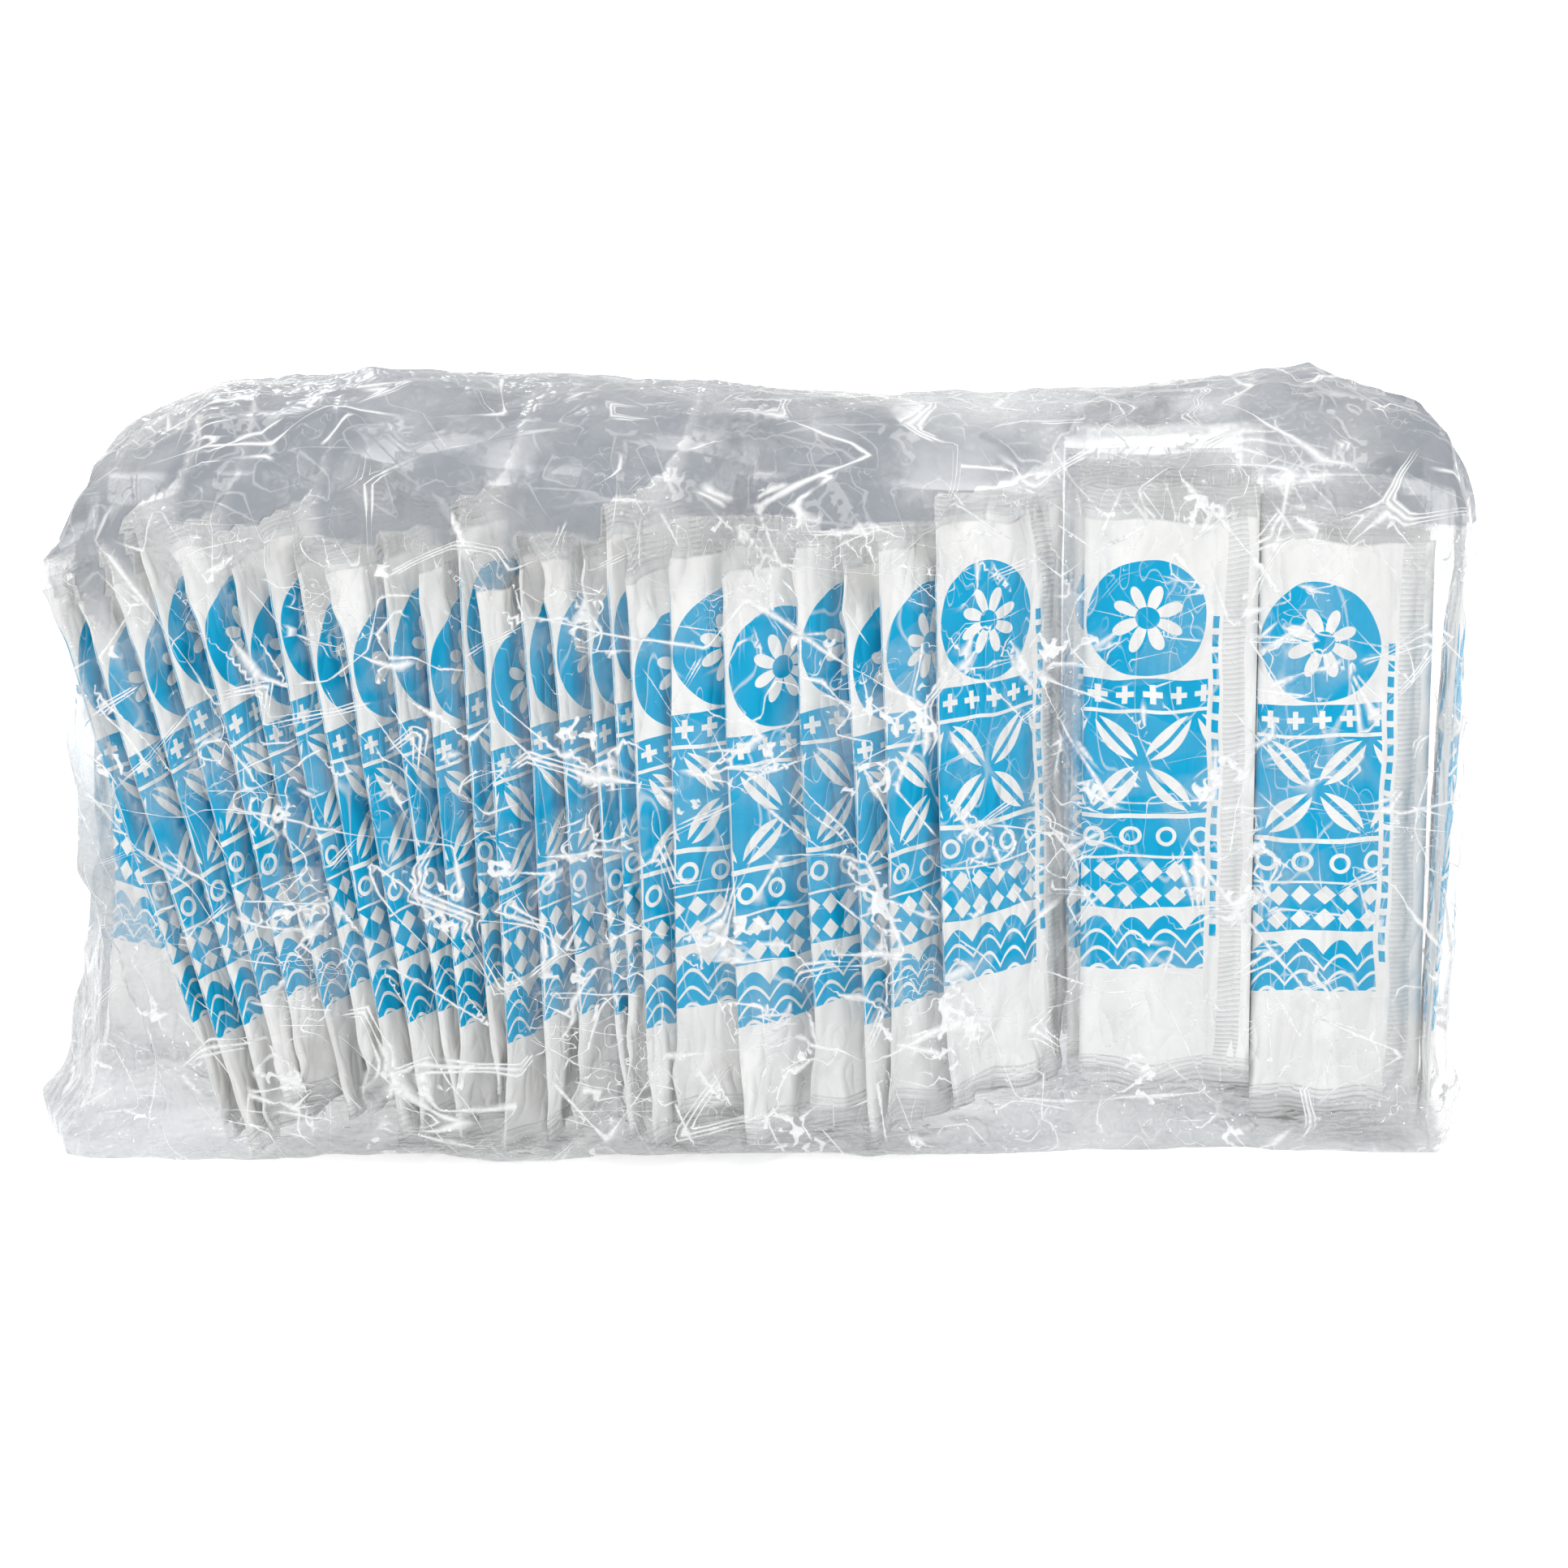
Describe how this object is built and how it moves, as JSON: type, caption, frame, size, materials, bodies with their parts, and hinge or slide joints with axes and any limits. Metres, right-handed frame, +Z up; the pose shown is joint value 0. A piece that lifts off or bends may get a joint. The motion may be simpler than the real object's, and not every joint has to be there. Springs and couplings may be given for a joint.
{
  "type": "plastic cutlery pack",
  "caption": "Clear crumpled film bag standing on its long side, packed with film-wrapped cutlery sets with blue print.",
  "frame": {"origin": "centre of the footprint, on the surface that the bag stands on", "axes": "+X along the bag's long side, to the right in the front view; -Y faces the viewer of the front; +Z up"},
  "size_m": [0.5889, 0.148, 0.3119],
  "materials": {
    "clear_film": "clear crumpled film with sharp highlights",
    "wrapped_set": "clear film with blue print over a white napkin and white cutlery"
  },
  "bodies": {
    "root": {"outer_bag": "clear_film", "front_sachet_01": "wrapped_set", "front_sachet_02": "wrapped_set", "front_sachet_03": "wrapped_set", "front_sachet_04": "wrapped_set", "front_sachet_05": "wrapped_set", "front_sachet_06": "wrapped_set", "front_sachet_07": "wrapped_set", "front_sachet_08": "wrapped_set", "front_sachet_09": "wrapped_set", "front_sachet_10": "wrapped_set", "front_sachet_11": "wrapped_set", "front_sachet_12": "wrapped_set", "front_sachet_13": "wrapped_set", "front_sachet_14": "wrapped_set", "front_sachet_15": "wrapped_set", "front_sachet_16": "wrapped_set", "front_sachet_17": "wrapped_set", "front_sachet_18": "wrapped_set", "front_sachet_19": "wrapped_set", "front_sachet_20": "wrapped_set", "front_sachet_21": "wrapped_set", "front_sachet_22": "wrapped_set", "front_sachet_23": "wrapped_set", "front_sachet_24": "wrapped_set", "back_sachet_01": "wrapped_set", "back_sachet_02": "wrapped_set", "back_sachet_03": "wrapped_set", "back_sachet_04": "wrapped_set", "back_sachet_05": "wrapped_set", "back_sachet_06": "wrapped_set", "back_sachet_07": "wrapped_set", "back_sachet_08": "wrapped_set", "back_sachet_09": "wrapped_set", "back_sachet_10": "wrapped_set", "back_sachet_11": "wrapped_set", "back_sachet_12": "wrapped_set", "back_sachet_13": "wrapped_set", "back_sachet_14": "wrapped_set", "back_sachet_15": "wrapped_set", "back_sachet_16": "wrapped_set", "left_stack_01": "wrapped_set", "left_stack_02": "wrapped_set", "left_stack_03": "wrapped_set", "left_stack_04": "wrapped_set", "left_stack_05": "wrapped_set", "left_stack_06": "wrapped_set", "left_stack_07": "wrapped_set", "left_stack_08": "wrapped_set", "left_stack_09": "wrapped_set", "right_stack_01": "wrapped_set", "right_stack_02": "wrapped_set", "right_stack_03": "wrapped_set", "right_stack_04": "wrapped_set", "right_stack_05": "wrapped_set", "right_stack_06": "wrapped_set", "right_stack_07": "wrapped_set", "right_stack_08": "wrapped_set", "right_stack_09": "wrapped_set", "edge_sachet_01": "wrapped_set"}
  },
  "joints": []
}
